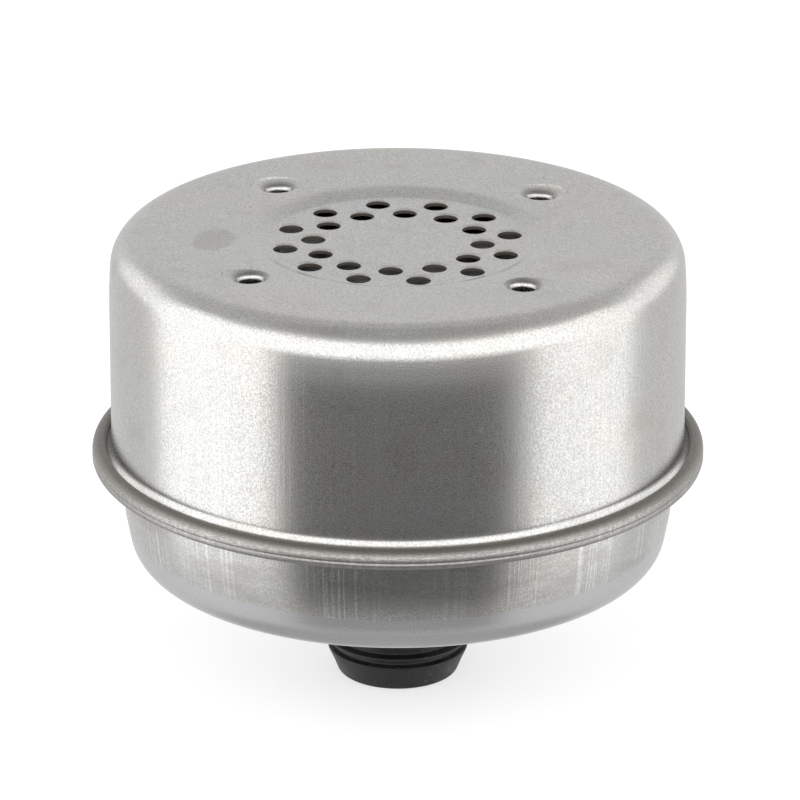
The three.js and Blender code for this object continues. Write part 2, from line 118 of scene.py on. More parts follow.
# Plunged holes round the dish
PLUNGE_CIRCLE = 37.5
PLUNGE_COUNT = 4
THROAT_RADIUS = 2.2
THROAT_ROUNDING = 1.2
THROAT_LENGTH = 3.2
DIMPLE_RADIUS = 3.9
DIMPLE_DEPTH = 1
DIMPLE_ROUNDING = 5
MOUTH_RISE = 0.045  # how much the punch rises outside the dimple, so that it leaves the sheet

# Lower pan and its curl round the shell's flange
PAN_RADIUS = 55.8
PAN_BEND_RADIUS = 54.9  # where the wall starts to bend in
PAN_BEND_HEIGHT = 36
PAN_BEND = 70
PAN_LOW_RADIUS = 52.7
PAN_CORNER = 6.5
PAN_HOLE_RADIUS = 9.45
PAN_FLANGE_UNDERSIDE = 46.9
PAN_STRETCH = 3  # longest straight stretch of the pan's outline
CURL_UPPER_BEND = 2.1
CURL_LOWER_BEND = 0.9
CURL_GAP = 0.2  # inside of the curl to the level of the shell's flange
CURL_INNER_BEND = 0.2  # at the foot of the curl
CREST_WIDTH = 0.2  # level part of the curl
LIP_RADIUS = 58.45
LIP_DROP = 0.6  # the lip slopes down towards the shell's wall
LIP_GAP = 0.25  # under the lip, to the level of the shell's flange
LIP_BEND = 0.2
LIP_EDGE = 0.1
CREASE_HEIGHT = 48.35
CREASE_WIDTH = 0.6
CREASE_DEPTH = 0.22
SMOOTH_EDGE = 33.4  # height where the scuffed wall ends and the smooth bottom begins

# Outlet tube
TUBE_RADIUS = 9.3
TUBE_WALL = 0.9
TUBE_BEND = 1.2

# Rubber neck. Heights are from its end face, and depths are from its collar's top face.
NECK_BORE_CLEARANCE = 0.15
NECK_END_LIP = 1.4  # rubber that covers the tube's end
NECK_END_EDGE = 0.35
NECK_START = 0.4  # height where the neck's outline starts, inside its end
TIP_RADIUS = 12
TIP_ROUNDING = 1.2
NOSE_WAIST_RADIUS = 13.1
NOSE_WAIST_HEIGHT = 2.8
NOSE_WAIST_BEND = 6
NOSE_RADIUS = 14.2
NOSE_LOW = 5.2
NOSE_HIGH = 5.6
NOSE_ROUNDING = 1.2
NOSE_EDGE = 0.12
GROOVE_RADIUS = 13.1
GROOVE_BEND = 0.3
LOWER_GROOVE_LOW = 6
LOWER_GROOVE_HIGH = 6.7
RIB_RADIUS = 14.5
RIB_LOW = 7.25
RIB_HIGH = 7.75
RIB_LOWER_EDGE = 0.15
RIB_UPPER_EDGE = 0.2
UPPER_GROOVE_LOW = 8.2
UPPER_GROOVE_HIGH = 9.7
BODY_RADIUS = 13.9
BODY_LOW = 10.3
BODY_EDGE = 0.25
BODY_DEPTH = 7.1
BODY_BEND = 1.5
COLLAR_RADIUS = 16.5
COLLAR_DEPTH = 4.5
COLLAR_BEND = 0.8
COLLAR_EDGE = 0.5
RECESS_RADIUS = 12.8  # recess in the collar's top face, round the tube
RECESS_DEPTH = 1.45
RECESS_EDGE = 0.1

# Foam sleeve
FOAM_CLEARANCE = 0.15  # to the element's top cap
FOAM_CROWN = 0.4  # how far its outside bulges
FOAM_CROWN_BEND = 60
FOAM_OUTER_EDGE = 1.2
FOAM_INNER_EDGE = 0.5
FOAM_START = 1  # height where its outline ends, on the inside
FOAM_STRETCH = 3  # longest straight stretch of its outline

# Places where the finish changes
SMEAR_X = -36
SMEAR_Y = -6
SMEAR_LENGTH = 5
SMEAR_WIDTH = 8
DIMPLE_SHADE_NEAR = 1  # beyond the dimple, where the painted shade starts to fade
DIMPLE_SHADE_FAR = 2
EDGE_WEAR_AND_SHADE_START = 0.8  # outside the pan's wall, where the rolled edge's wear and painted shade start
EDGE_WEAR_AND_SHADE_FULL = 1.6
SCUFF_FADE = 0.8  # above the crease
CURL_SHADE_LOW = 1.7  # below the top of the curl, where its painted shade starts
CURL_SHADE_HIGH = 0.6

# Camera
CAMERA_AZIMUTH = 4.76
CAMERA_ELEVATION = 21.32
CAMERA_DISTANCE = 1123.2
CAMERA_LENS = 252.8
SENSOR_WIDTH = 36
AIM_HEIGHT = 58.1
AXIS_SHIFT = 0.0027  # of the frame's width, which puts the axis left of the middle
FAR_CLIP = 20000

# ---------- Outlines in the (radius, height) plane ----------

ARC_STEP = 7  # degrees that one side of a rounded bend covers


def rounded(*corners):
    """A line through (r, z) corners. A corner with a third number is rounded to that radius."""
    points = [Vector(c[:2]) for c in corners]
    line = [points[0]]
    for i in range(1, len(corners) - 1):
        fillet = corners[i][2] if len(corners[i]) > 2 else 0
        if not fillet:
            line.append(points[i])
            continue
        back = (points[i - 1] - points[i]).normalized()
        onward = (points[i + 1] - points[i]).normalized()
        half = back.angle(onward) / 2
        centre = points[i] + (back + onward).normalized() * (fillet / math.sin(half))
        first = points[i] + back * (fillet / math.tan(half)) - centre
        turn = math.copysign(math.pi - 2 * half, back.x * onward.y - back.y * onward.x)
        steps = max(2, math.ceil(abs(math.degrees(turn)) / ARC_STEP))
        for step in range(steps + 1):
            line.append(centre + Matrix.Rotation(-turn * step / steps, 2) @ first)
    line.append(points[-1])
    return line


def divided(line, longest):
    """The line with its long stretches cut into shorter ones."""
    made = [line[0]]
    for a, b in zip(line, line[1:]):
        pieces = max(1, math.ceil((b - a).length / longest))
        made += [a.lerp(b, i / pieces) for i in range(1, pieces + 1)]
    return made


def offset(line, distance):
    """The line moved sideways: left of its direction where the distance is positive."""
    sides = [Vector((-(b - a).y, (b - a).x)).normalized() for a, b in zip(line, line[1:])]
    moved = []
    for i, p in enumerate(line):
        before = sides[max(i - 1, 0)]
        after = sides[min(i, len(sides) - 1)]
        moved.append(p + (before + after) * (distance / (1 + before.dot(after))))
    return moved


def bent_sheet(line, thickness):
    """Outline of a sheet between a line and the same line moved sideways by the thickness."""
    return line + offset(line, thickness)[::-1]


# ---------- Meshes ----------


def new_object(name, mesh):
    """Makes an object from a bmesh in metres and frees the bmesh."""
    data = bpy.data.meshes.new(name)
    mesh.to_mesh(data)
    mesh.free()
    made = bpy.data.objects.new(name, data)
    bpy.context.scene.collection.objects.link(made)
    return made


def add_revolved(mesh, outline, segments, place=Matrix.Identity(4)):
    """Adds an outline turned round the Z axis. One that doesn't touch the axis closes into a ring."""
    rings = []
    for r, z in outline:
        count = 1 if r < 1e-6 else segments
        turns = [2 * math.pi * i / segments for i in range(count)]
        points = [Vector((r * math.cos(t), r * math.sin(t), z)) * MM for t in turns]
        rings.append([mesh.verts.new(place @ p) for p in points])
    pairs = list(zip(rings, rings[1:]))
    if outline[0][0] > 1e-6:
        pairs.append((rings[-1], rings[0]))
    for lower, upper in pairs:
        for i in range(segments):
            j = i + 1
            corners = [
                lower[i % len(lower)],
                lower[j % len(lower)],
                upper[j % len(upper)],
                upper[i % len(upper)],
            ]
            mesh.faces.new(dict.fromkeys(corners))


def revolved(name, outline, segments):
    """Makes an object by turning an outline round the Z axis."""
    mesh = bmesh.new()
    add_revolved(mesh, outline, segments)
    bmesh.ops.recalc_face_normals(mesh, faces=mesh.faces)
    return new_object(name, mesh)


def around(count, first=0):
    """Evenly spaced angles in degrees."""
    return [first + 360 * i / count for i in range(count)]


def placed_round(radius, height, angle, lean=0):
    """A place turned round the axis by an angle in degrees. Its lean inwards is in radians."""
    turn = Matrix.Rotation(math.radians(angle), 4, "Z")
    move = Matrix.Translation(Vector((radius, 0, height)) * MM)
    return turn @ move @ Matrix.Rotation(-lean, 4, "Y")


def combine(target, other, operation):
    """Joins or cuts the target by the other object, which is used up."""
    modifier = target.modifiers.new("combine", "BOOLEAN")
    modifier.operation = operation
    modifier.solver = "EXACT"
    modifier.object = other
    bpy.context.view_layer.update()
    made = target.evaluated_get(bpy.context.evaluated_depsgraph_get())
    mesh = bpy.data.meshes.new_from_object(made)
    target.modifiers.clear()
    target.data = mesh
    bpy.data.objects.remove(other)


def smooth(piece, sharp_angle=35):
    """Smooth shading that keeps edges sharper than the angle, with even normals on flat parts."""
    piece.data.shade_smooth()
    piece.data.set_sharp_from_angle(angle=math.radians(sharp_angle))
    modifier = piece.modifiers.new("even_shading", "WEIGHTED_NORMAL")
    modifier.keep_sharp = True


# ---------- Shader building ----------


class Shader:
    """A node tree with short calls for the nodes that the materials share."""

    def __init__(self, owner):
        owner.use_nodes = True
        self.tree = owner.node_tree
        self.tree.nodes.clear()

    def node(self, kind, **inputs):
        made = self.tree.nodes.new(kind)
        for name, value in inputs.items():
            self.set(made.inputs[name.replace("_", " ")], value)
        return made

    def set(self, socket, value):
        if isinstance(value, bpy.types.NodeSocket):
            self.tree.links.new(value, socket)
        else:
            socket.default_value = value

    def math(self, operation, *values):
        made = self.tree.nodes.new("ShaderNodeMath")
        made.operation = operation
        for socket, value in zip(made.inputs, values):
            self.set(socket, value)
        return made.outputs[0]

    def ramp(self, value, start, end, low=0.0, high=1.0):
        """A smooth step from low to high as the value goes from start to end."""
        made = self.tree.nodes.new("ShaderNodeMapRange")
        made.interpolation_type = "SMOOTHSTEP"
        for socket, number in zip(made.inputs, (value, start, end, low, high)):
            self.set(socket, number)
        return made.outputs[0]

    def mix(self, factor, a, b):
        """A colour between a and b."""
        made = self.tree.nodes.new("ShaderNodeMix")
        made.data_type = "RGBA"
        self.set(made.inputs[0], factor)
        self.set(made.inputs[6], a)
        self.set(made.inputs[7], b)
        return made.outputs[2]

    def position(self):
        return self.tree.nodes.new("ShaderNodeTexCoord").outputs["Object"]

    def vector(self, x, y, z):
        return self.node("ShaderNodeCombineXYZ", X=x, Y=y, Z=z).outputs[0]

    def parts(self, vector):
        return self.node("ShaderNodeSeparateXYZ", Vector=vector).outputs

    def noise(self, vector, scale, detail=3.0, roughness=0.5):
        made = self.tree.nodes.new("ShaderNodeTexNoise")
        for name, value in (
            ("Vector", vector),
            ("Scale", scale),
            ("Detail", detail),
            ("Roughness", roughness),
        ):
            self.set(made.inputs[name], value)
        return made.outputs[0]

    def bump(self, height, distance, strength=1.0, normal=None):
        made = self.node("ShaderNodeBump", Height=height, Distance=distance, Strength=strength)
        if normal is not None:
            self.set(made.inputs["Normal"], normal)
        return made.outputs[0]


def grey(value):
    return (value, value, value, 1)


def finish_material(shader, **inputs):
    """Ends a material with a Principled surface. Names use underscores for spaces."""
    surface = shader.node("ShaderNodeBsdfPrincipled", **inputs)
    output = shader.tree.nodes.new("ShaderNodeOutputMaterial")
    shader.tree.links.new(surface.outputs[0], output.inputs[0])


# ---------- Materials ----------


STEEL_WARM = (0.685, 0.67, 0.63, 1)
STEEL_COOL = (0.67, 0.67, 0.66, 1)
STEEL_MOTTLE = (0.47, 0.44, 0.4, 1)
STEEL_SCRATCH = (0.86, 0.85, 0.82, 1)
STEEL_CLEAN = (0.6, 0.6, 0.608, 1)
SMEAR = (0.36, 0.33, 0.28, 1)
HANDLING = (0.45, 0.43, 0.39, 1)
SHADED_HOLE_WALL = (0.17, 0.15, 0.13, 1)
DIMPLE_SHADE = (0.2, 0.19, 0.18, 1)
PITTING = (0.47, 0.46, 0.44, 1)
SMUDGE = (0.4, 0.38, 0.35, 1)
EDGE_SHADE = (0.2, 0.193, 0.183, 1)
EDGE_SCUFF = (0.72, 0.71, 0.69, 1)
CURL_TOP_SHADE = (0.19, 0.175, 0.155, 1)
DUST = (0.3, 0.27, 0.23, 1)
PAPER_DARK = (0.62, 0.5, 0.26, 1)
PAPER_LIGHT = (0.85, 0.75, 0.5, 1)
POTTING_DARK = (0.2, 0.035, 0.025, 1)
POTTING_LIGHT = (0.33, 0.08, 0.05, 1)


def wall_coordinates(shader, position, along, up):
    """Coordinates that wrap round the axis: distance round and height, each times a number per metre."""
    x, y, z = shader.parts(position)
    turn = shader.math("ARCTAN2", y, x)
    wrapped = shader.math("MULTIPLY", turn, along * WALL_RADIUS * MM)
    return shader.vector(wrapped, shader.math("MULTIPLY", z, up), 0.0)


def radius_and_height(shader, position):
    """Distance from the axis and height, in millimetres."""
    x, y, z = shader.parts(position)
    squares = shader.math("ADD", shader.math("MULTIPLY", x, x), shader.math("MULTIPLY", y, y))
    radius = shader.math("DIVIDE", shader.math("SQRT", squares), MM)
    return radius, shader.math("DIVIDE", z, MM)


def sheet_steel(name, streaks, finish):
    """Satin sheet steel: fine grain, draw lines, stains, specks and upright scratches.

    The finish function may add to it: it takes the shader and its colour, roughness and
    scratches, and returns all three."""
    material = bpy.data.materials.new(name)
    s = Shader(material)
    position = s.position()
    grain = s.noise(position, scale=2600, detail=2, roughness=0.7)
    mottle = s.noise(position, scale=260, detail=4, roughness=0.6)
    patches = s.noise(position, scale=38, detail=5, roughness=0.6)
    draw_lines = s.noise(wall_coordinates(s, position, along=900, up=45), scale=1)
    groups = s.noise(wall_coordinates(s, position, along=50, up=6), scale=1)
    lines = s.noise(wall_coordinates(s, position, along=2000, up=12), scale=1, detail=3)
    scratches = s.math("MULTIPLY", s.ramp(lines, 0.5, 0.62), s.ramp(groups, 0.45, 0.58))
    scratches = s.math("MULTIPLY", scratches, streaks)
    specks = s.ramp(s.noise(position, scale=420, detail=1), 0.75, 0.8, high=0.35)

    colour = s.mix(s.ramp(patches, 0.4, 0.62), STEEL_WARM, STEEL_COOL)
    colour = s.mix(s.ramp(grain, 0.35, 0.65, high=0.6), colour, grey(0.36))
    colour = s.mix(s.ramp(mottle, 0.55, 0.75, high=0.16), colour, STEEL_MOTTLE)
    colour = s.mix(scratches, colour, STEEL_SCRATCH)
    colour = s.mix(specks, colour, grey(0.85))
    roughness = s.ramp(grain, 0.3, 0.7, low=0.2, high=0.3)
    colour, roughness, scratches = finish(s, position, colour, roughness, scratches)

    fine = s.bump(grain, distance=0.02 * MM, strength=0.6)
    drawn = s.bump(draw_lines, distance=0.03 * MM, strength=0.2, normal=fine)
    normal = s.bump(scratches, distance=0.05 * MM, strength=0.4, normal=drawn)
    finish_material(s, Base_Color=colour, Metallic=1.0, Roughness=roughness, Normal=normal)
    return material


def smear_amount(s, position):
    """How strong the ragged oval smear on the top is at each place."""
    x, y, z = s.parts(position)
    across = s.math("MULTIPLY", s.math("ADD", x, -SMEAR_X * MM), 1 / SMEAR_LENGTH / MM)
    along = s.math("MULTIPLY", s.math("ADD", y, -SMEAR_Y * MM), 1 / SMEAR_WIDTH / MM)
    away = s.math("ADD", s.math("MULTIPLY", across, across), s.math("MULTIPLY", along, along))
    uneven = s.math("MULTIPLY", s.noise(position, scale=130, detail=6), 2.4)
    return s.ramp(s.math("ADD", away, uneven), 2.1, 1.5, high=0.45)


def shell_finish(s, position, colour, roughness, scratches):
    """A smear and handling marks, rough walls in the punched holes darkened with painted shade, and
    painted shade on the dimples' slopes.
    """
    radius, height = radius_and_height(s, position)
    on_top = s.ramp(height, DISH_FLOOR - SHEET, DISH_FLOOR)
    smear = s.math("MULTIPLY", smear_amount(s, position), on_top)
    colour = s.mix(smear, colour, SMEAR)
    handled = s.noise(position, scale=85, detail=6, roughness=0.7)
    colour = s.mix(s.ramp(handled, 0.52, 0.68, high=0.36), colour, HANDLING)

    facing = s.tree.nodes.new("ShaderNodeNewGeometry").outputs["True Normal"]
    upright = s.math("ABSOLUTE", s.parts(facing)[2])
    in_dish = s.ramp(radius, DISH_FLOOR_RADIUS, DISH_FLOOR_RADIUS - 1)
    # Painted shade: the walls of the punched holes are darkened, as well as made rougher.
    rough_shaded_hole_wall = s.math("MULTIPLY", s.ramp(upright, 0.8, 0.4), in_dish)
    colour = s.mix(rough_shaded_hole_wall, colour, SHADED_HOLE_WALL)
    roughness = s.math("ADD", roughness, s.math("MULTIPLY", rough_shaded_hole_wall, 0.4))

    off_circle = s.math("ABSOLUTE", s.math("SUBTRACT", radius, PLUNGE_CIRCLE))
    near = s.ramp(off_circle, DIMPLE_RADIUS + DIMPLE_SHADE_FAR, DIMPLE_RADIUS + DIMPLE_SHADE_NEAR)
    dimple = s.math("MULTIPLY", near, on_top)
    # Painted shade: the sloping sides of the dimples are darkened.
    sloping = s.math("MULTIPLY", s.ramp(upright, 0.995, 0.88), s.ramp(upright, 0.65, 0.8))
    dimple_shade = s.math("MULTIPLY", s.math("MULTIPLY", sloping, dimple), 0.7)
    colour = s.mix(dimple_shade, colour, DIMPLE_SHADE)
    return colour, roughness, scratches


def pan_finish(s, position, colour, roughness, scratches):
    """A rougher rolled edge darkened with painted shade, its top darker still with painted shade, a
    scuffed crest, and a smooth band under the scuffed wall.
    """
    radius, height = radius_and_height(s, position)
    ragged = s.math("ADD", height, s.noise(position, scale=200))
    smooth_band = s.ramp(ragged, SMOOTH_EDGE + 1, SMOOTH_EDGE + 0.5)
    edge = s.ramp(radius, PAN_RADIUS + EDGE_WEAR_AND_SHADE_START, PAN_RADIUS + EDGE_WEAR_AND_SHADE_FULL)
    above_crease = s.ramp(height, CREASE_HEIGHT, CREASE_HEIGHT + SCUFF_FADE)
    crest = s.math("MULTIPLY", edge, above_crease)
    # Painted shade: the top of the curl is darkened further.
    top_side = s.ramp(height, CURL_TOP - CURL_SHADE_LOW, CURL_TOP - CURL_SHADE_HIGH)
    curl_top_shade = s.math("MULTIPLY", s.math("MULTIPLY", edge, top_side), 0.85)

    scuff_and_shade_pattern = s.noise(
        wall_coordinates(s, position, along=1100, up=4200), scale=1, detail=4, roughness=0.8
    )
    smudges = s.noise(
        wall_coordinates(s, position, along=45, up=160), scale=1, detail=5, roughness=0.65
    )
    pits = s.noise(position, scale=1700, detail=3, roughness=0.7)
    scuffs = s.math("MULTIPLY", crest, s.ramp(scuff_and_shade_pattern, 0.48, 0.66, high=0.6))
    # Painted shade: the whole rolled edge is darkened, more in blotches.
    edge_shade = s.math("MULTIPLY", edge, s.ramp(scuff_and_shade_pattern, 0.52, 0.38, low=0.55, high=0.85))

    colour = s.mix(s.ramp(pits, 0.42, 0.62, high=0.45), colour, PITTING)
    colour = s.mix(s.ramp(smudges, 0.48, 0.66, high=0.45), colour, SMUDGE)
    colour = s.mix(smooth_band, colour, STEEL_CLEAN)
    colour = s.mix(edge_shade, colour, EDGE_SHADE)
    colour = s.mix(scuffs, colour, EDGE_SCUFF)
    colour = s.mix(curl_top_shade, colour, CURL_TOP_SHADE)
    roughness = s.math("ADD", roughness, s.math("MULTIPLY", edge, 0.16))
    off_edge = s.math("SUBTRACT", 1.0, s.math("MAXIMUM", smooth_band, edge))
    return colour, roughness, s.math("MULTIPLY", scratches, off_edge)


def plated_steel(name, shade, roughness):
    """Plain plated steel, faintly clouded and pitted."""
    material = bpy.data.materials.new(name)
    s = Shader(material)
    position = s.position()
    cloud = s.noise(position, scale=180, detail=4)
    colour = s.mix(s.ramp(cloud, 0.3, 0.7), grey(shade * 0.85), grey(shade))
    rough = s.ramp(cloud, 0.3, 0.7, low=roughness, high=roughness + 0.12)
    normal = s.bump(s.noise(position, scale=2200), distance=0.02 * MM, strength=0.3)
    finish_material(s, Base_Color=colour, Metallic=1.0, Roughness=rough, Normal=normal)
    return material


def rubber(name, shade, dust):
    """Moulded black rubber with faint lines round it and specks of dust."""
    material = bpy.data.materials.new(name)
    s = Shader(material)
    position = s.position()
    x, y, z = s.parts(position)
    bloom = s.noise(position, scale=320, detail=4)
    lines = s.noise(s.vector(0.0, 0.0, z), scale=1800, detail=2)
    specks = s.ramp(s.noise(position, scale=1500, detail=1), 0.68, 0.76, high=dust)
    bloomed = (shade * 2, shade * 1.9, shade * 1.8, 1)
    base = s.mix(s.ramp(bloom, 0.35, 0.7), grey(shade), bloomed)
    colour = s.mix(specks, base, DUST)
    rough = s.ramp(bloom, 0.3, 0.7, low=0.42, high=0.6)
    uneven = s.bump(bloom, distance=0.05 * MM, strength=0.3)
    normal = s.bump(lines, distance=0.03 * MM, strength=0.3, normal=uneven)
    finish_material(s, Base_Color=colour, Roughness=rough, Normal=normal)
    return material


def filter_paper(name):
    material = bpy.data.materials.new(name)
    s = Shader(material)
    fibres = s.noise(s.position(), scale=900, detail=5, roughness=0.7)
    colour = s.mix(fibres, PAPER_DARK, PAPER_LIGHT)
    normal = s.bump(fibres, distance=0.1 * MM, strength=0.5)
    finish_material(s, Base_Color=colour, Roughness=0.9, Normal=normal)
    return material


def open_foam(name):
    """Dark foam with painted shade in the cells' hollows, which leaves the cells' walls lighter."""
    material = bpy.data.materials.new(name)
    s = Shader(material)
    cells = s.tree.nodes.new("ShaderNodeTexVoronoi")
    s.set(cells.inputs["Vector"], s.position())
    s.set(cells.inputs["Scale"], 900)
    depth = cells.outputs["Distance"]
    # Painted shade: the hollows of the cells are darker than their walls.
    colour = s.mix(s.ramp(depth, 0.1, 0.6), grey(0.015), grey(0.11))
    normal = s.bump(depth, distance=0.4 * MM, strength=0.8)
    finish_material(s, Base_Color=colour, Roughness=0.95, Normal=normal)
    return material


def potting_compound(name):
    material = bpy.data.materials.new(name)
    s = Shader(material)
    swirl = s.noise(s.position(), scale=140, detail=4)
    colour = s.mix(swirl, POTTING_DARK, POTTING_LIGHT)
    normal = s.bump(swirl, distance=0.2 * MM, strength=0.4)
    finish_material(s, Base_Color=colour, Roughness=0.5, Normal=normal)
    return material


def floor_material(name):
    """Pale paper that glows a little, so that it stays as white as the photographed one."""
    material = bpy.data.materials.new(name)
    s = Shader(material)
    colour = s.mix(s.noise(s.position(), scale=60), grey(0.5), grey(0.54))
    glow = {"Emission_Color": grey(1.0), "Emission_Strength": 0.62}
    finish_material(s, Base_Color=colour, Roughness=0.9, **glow)
    return material


def give(piece, material):
    """Gives a piece its material."""
    piece.data.materials.clear()
    piece.data.materials.append(material)


# ---------- Pieces ----------

SHELL_SEGMENTS = 288
SMALL_SEGMENTS = 96
HOLE_SEGMENTS = 40


def punched_hole():
    """Outline of the punch, which flares at the top to roll the hole's edge down."""
    roll = HOLE_RADIUS + ROLL_WIDTH
    return rounded(
        (0, DISH_FLOOR - 3 * SHEET),
        (HOLE_RADIUS, DISH_FLOOR - 3 * SHEET),
        (HOLE_RADIUS, DISH_FLOOR - ROLL_DEPTH, HOLE_ROUNDING),
        (roll, DISH_FLOOR, ROLL_WIDTH),
        (roll + ROLL_WIDTH / 3, DISH_FLOOR + ROLL_DEPTH / 6),
        (roll + ROLL_WIDTH / 3, DISH_FLOOR + SHEET),
        (0, DISH_FLOOR + SHEET),
    )


def throat_bore():
    """Outline of the bore and dimpled mouth of a plunged hole, from z = 0 at the top's surface."""
    end = -THROAT_LENGTH - 2 * SHEET
    return rounded(
        (0, end),
        (THROAT_RADIUS + SHEET, end),
        (THROAT_RADIUS, -THROAT_LENGTH, THROAT_ROUNDING),
        (THROAT_RADIUS, -DIMPLE_DEPTH, THROAT_ROUNDING),
        (DIMPLE_RADIUS, 0, DIMPLE_ROUNDING),
        (DIMPLE_RADIUS + 2 * SHEET, MOUTH_RISE),
        (DIMPLE_RADIUS + 2 * SHEET, SHEET),
        (0, SHEET),
    )


def throat_wall():
    """Outline of the solid that the bore is cut from, with its end flared out under the foot."""
    outer = THROAT_RADIUS + SHEET
    end = -THROAT_LENGTH - SHEET
    return [
        Vector((0, end)),
        Vector((outer + SHEET, end)),
        Vector((outer, -THROAT_LENGTH + SHEET / 2)),
        Vector((outer, -SHEET / 2)),
        Vector((0, -SHEET / 2)),
    ]


def upper_shell():
    """Drawn can with a dished top, punched holes in the dish and plunged holes round it."""
    slope = math.atan2(TOP_SAG, TOP_EDGE_RADIUS - DISH_RIM_RADIUS)
    corner_radius = WALL_RADIUS - WALL_LEAN * WALL_LEAN_HEIGHT
    corner_height = CROWN - TOP_SAG + math.tan(slope) * (corner_radius - DISH_RIM_RADIUS)
    line = rounded(
        (0, DISH_FLOOR),
        (DISH_FLOOR_RADIUS, DISH_FLOOR, DISH_FLOOR_ROUNDING),
        (DISH_RIM_RADIUS, CROWN - TOP_SAG, DISH_RIM_ROUNDING),
        (corner_radius, corner_height, TOP_CORNER),
        (WALL_RADIUS, CROWN - WALL_LEAN_HEIGHT, WALL_LEAN_BEND),
        (WALL_RADIUS + WALL_FLARE, SEAM, SEAM_BEND),
        (FLANGE_RADIUS, SEAM),
    )
    shell = revolved("shell_body", bent_sheet(divided(line, SHELL_STRETCH), -SHEET), SHELL_SEGMENTS)

    plunge_height = CROWN - TOP_SAG + (PLUNGE_CIRCLE - DISH_RIM_RADIUS) * math.tan(slope)
    places = [
        placed_round(PLUNGE_CIRCLE, plunge_height, angle, -slope)
        for angle in around(PLUNGE_COUNT, FIRST_HOLE_ANGLE)
    ]
    walls = bmesh.new()
    for place in places:
        add_revolved(walls, throat_wall(), HOLE_SEGMENTS, place)
    bmesh.ops.recalc_face_normals(walls, faces=walls.faces)
    combine(shell, new_object("throat_walls", walls), "UNION")

    cutters = bmesh.new()
    for place in places:
        add_revolved(cutters, throat_bore(), HOLE_SEGMENTS, place)
    half_pitch = 180 / HOLES_PER_RING
    for radius, first in (
        (OUTER_RING_RADIUS, FIRST_HOLE_ANGLE),
        (INNER_RING_RADIUS, FIRST_HOLE_ANGLE + half_pitch),
    ):
        for angle in around(HOLES_PER_RING, first):
            add_revolved(cutters, punched_hole(), HOLE_SEGMENTS, placed_round(radius, 0, angle))
    bmesh.ops.recalc_face_normals(cutters, faces=cutters.faces)
    combine(shell, new_object("punches", cutters), "DIFFERENCE")
    return shell


def lower_pan():
    """Pan whose edge rolls up round the shell's flange and closes down on it."""
    underside = PAN_FLANGE_UNDERSIDE
    wall = (
        (PAN_HOLE_RADIUS, PAN_BOTTOM),
        (PAN_LOW_RADIUS, PAN_BOTTOM, PAN_CORNER),
        (PAN_BEND_RADIUS, PAN_BEND_HEIGHT, PAN_BEND),
        (PAN_RADIUS, underside, SEAM_BEND),
        (BEAD_RADIUS, underside, CURL_LOWER_BEND),
        (BEAD_RADIUS, CREASE_HEIGHT - CREASE_WIDTH / 2, CREASE_DEPTH),
        (BEAD_RADIUS - CREASE_DEPTH, CREASE_HEIGHT, CREASE_DEPTH),
        (BEAD_RADIUS, CREASE_HEIGHT + CREASE_WIDTH / 2, CREASE_DEPTH),
        (BEAD_RADIUS, CURL_TOP, CURL_UPPER_BEND),
        (BEAD_RADIUS - CURL_UPPER_BEND - CREST_WIDTH, CURL_TOP, LIP_BEND),
        (LIP_RADIUS, CURL_TOP - LIP_DROP, LIP_EDGE),
    )
    inside = (
        (LIP_RADIUS, SEAM + LIP_GAP),
        (BEAD_RADIUS - SHEET, SEAM + CURL_GAP, CURL_UPPER_BEND - SHEET),
        (BEAD_RADIUS - SHEET, underside + SHEET, CURL_INNER_BEND),
        (PAN_RADIUS - SHEET, underside + SHEET, SEAM_BEND + SHEET),
        (PAN_BEND_RADIUS - SHEET, PAN_BEND_HEIGHT, PAN_BEND - SHEET),
        (PAN_LOW_RADIUS - SHEET, PAN_BOTTOM + SHEET, PAN_CORNER - SHEET),
        (PAN_HOLE_RADIUS, PAN_BOTTOM + SHEET),
    )
    outline = divided(rounded(*wall, *inside), PAN_STRETCH)
    return revolved("pan_body", outline, SHELL_SEGMENTS)


def rubber_neck():
    """Nose, rib, seat groove, body and collar of the neck, and the bore that grips the tube."""
    end = NECK_BOTTOM
    top = NECK_TOP
    mouth = TUBE_RADIUS - TUBE_WALL
    bore = TUBE_RADIUS + NECK_BORE_CLEARANCE
    outside = (
        (mouth, end + NECK_START),
        (mouth, end, NECK_END_EDGE),
        (TIP_RADIUS, end, TIP_ROUNDING),
        (NOSE_WAIST_RADIUS, end + NOSE_WAIST_HEIGHT, NOSE_WAIST_BEND),
        (NOSE_RADIUS, end + NOSE_LOW, NOSE_ROUNDING),
        (NOSE_RADIUS, end + NOSE_HIGH, NOSE_EDGE),
        (GROOVE_RADIUS, end + LOWER_GROOVE_LOW, GROOVE_BEND),
        (GROOVE_RADIUS, end + LOWER_GROOVE_HIGH, GROOVE_BEND),
        (RIB_RADIUS, end + RIB_LOW, RIB_LOWER_EDGE),
        (RIB_RADIUS, end + RIB_HIGH, RIB_UPPER_EDGE),
        (GROOVE_RADIUS, end + UPPER_GROOVE_LOW, GROOVE_BEND),
        (GROOVE_RADIUS, end + UPPER_GROOVE_HIGH, GROOVE_BEND),
        (BODY_RADIUS, end + BODY_LOW, BODY_EDGE),
        (BODY_RADIUS, top - BODY_DEPTH, BODY_BEND),
        (COLLAR_RADIUS, top - COLLAR_DEPTH, COLLAR_BEND),
        (COLLAR_RADIUS, top, COLLAR_EDGE),
    )
    inside = (
        (RECESS_RADIUS, top, RECESS_EDGE),
        (RECESS_RADIUS, top - RECESS_DEPTH),
        (bore, top - RECESS_DEPTH),
        (bore, end + NECK_END_LIP),
        (mouth, end + NECK_END_LIP),
    )
    return revolved("neck_rubber", rounded(*outside, *inside), 2 * SMALL_SEGMENTS)


def outlet_tube():
    """Steel tube with a flange turned out at its top."""
    flange = TUBE_TOP - TUBE_WALL
    line = rounded(
        (TUBE_RADIUS, TUBE_BOTTOM), (TUBE_RADIUS, flange, TUBE_BEND), (TUBE_FLANGE_RADIUS, flange)
    )
    return revolved("tube_body", bent_sheet(line, TUBE_WALL), SMALL_SEGMENTS)


